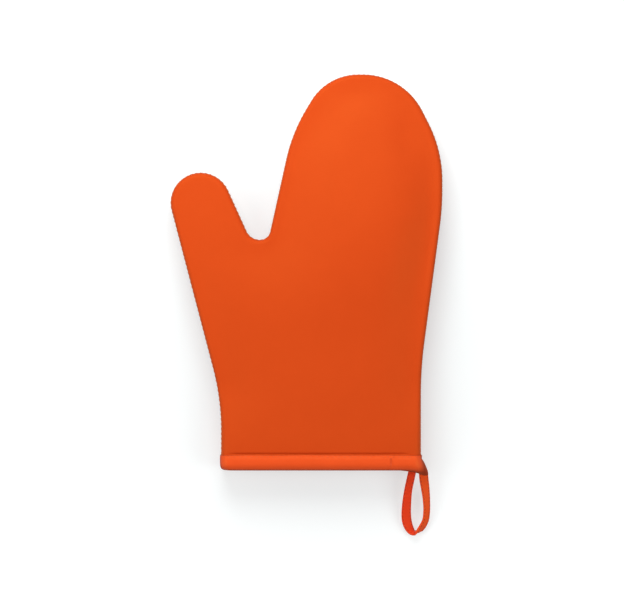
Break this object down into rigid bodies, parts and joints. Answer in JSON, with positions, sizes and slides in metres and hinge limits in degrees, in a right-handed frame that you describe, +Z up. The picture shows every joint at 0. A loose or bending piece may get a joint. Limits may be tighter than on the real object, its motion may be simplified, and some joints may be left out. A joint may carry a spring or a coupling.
{
  "type": "oven mitt",
  "caption": "Padded oven mitt of foam rubber with a thumb, wadding, lining, a bound cuff and a hanging loop of the same tape.",
  "frame": {"origin": "on the face that the mitt lies on, under the middle of the palm: on the cuff's middle line, 90 mm from the cuff's edge", "axes": "+Y from the cuff to the fingertips, +Z up out of the front panel, +X across the mitt away from the thumb"},
  "size_m": [0.1808, 0.3067, 0.0264],
  "materials": {
    "foam_rubber_shell": "matt fine knit over foam rubber",
    "wadding": "loose fibre",
    "lining": "smooth woven cotton",
    "binding_tape": "smooth folded knit tape",
    "thread": "twisted polyester",
    "lining_thread": "twisted polyester"
  },
  "bodies": {
    "hand": {"front_shell_hand": "foam_rubber_shell", "front_wadding_hand": "wadding", "front_lining_hand": "lining", "back_shell_hand": "foam_rubber_shell", "back_wadding_hand": "wadding", "back_lining_hand": "lining", "shell_seam_thread_hand": "thread", "lining_seam_thread_hand": "lining_thread", "cuff_binding": "binding_tape", "binding_needle_thread": "thread", "binding_bobbin_thread": "thread", "loop_bar_tack": "thread"},
    "fingers": {"front_shell_fingers": "foam_rubber_shell", "front_wadding_fingers": "wadding", "front_lining_fingers": "lining", "back_shell_fingers": "foam_rubber_shell", "back_wadding_fingers": "wadding", "back_lining_fingers": "lining", "shell_seam_thread_fingers": "thread", "lining_seam_thread_fingers": "lining_thread"},
    "thumb": {"front_shell_thumb": "foam_rubber_shell", "front_wadding_thumb": "wadding", "front_lining_thumb": "lining", "back_shell_thumb": "foam_rubber_shell", "back_wadding_thumb": "wadding", "back_lining_thumb": "lining", "shell_seam_thread_thumb": "thread", "lining_seam_thread_thumb": "lining_thread"},
    "loop": {"hanging_loop": "binding_tape", "loop_edge_thread": "thread"}
  },
  "joints": [
    {"name": "finger_flex", "type": "hinge", "parent": "hand", "child": "fingers", "pos_m": [0.02, 0.0825, 0.026], "axis": [1, 0, 0], "range_deg": [0, 70], "stiffness_Nm_per_rad": 0.05},
    {"name": "thumb_flex", "type": "hinge", "parent": "hand", "child": "thumb", "pos_m": [-0.05236, 0.07033, 0.026], "axis": [0.5592, 0.829, 0], "range_deg": [0, 60], "stiffness_Nm_per_rad": 0.03},
    {"name": "loop_flop", "type": "hinge", "parent": "hand", "child": "loop", "pos_m": [0.064, -0.0935, 0.013], "axis": [-1, 0, 0], "range_deg": [-74, 100]}
  ]
}
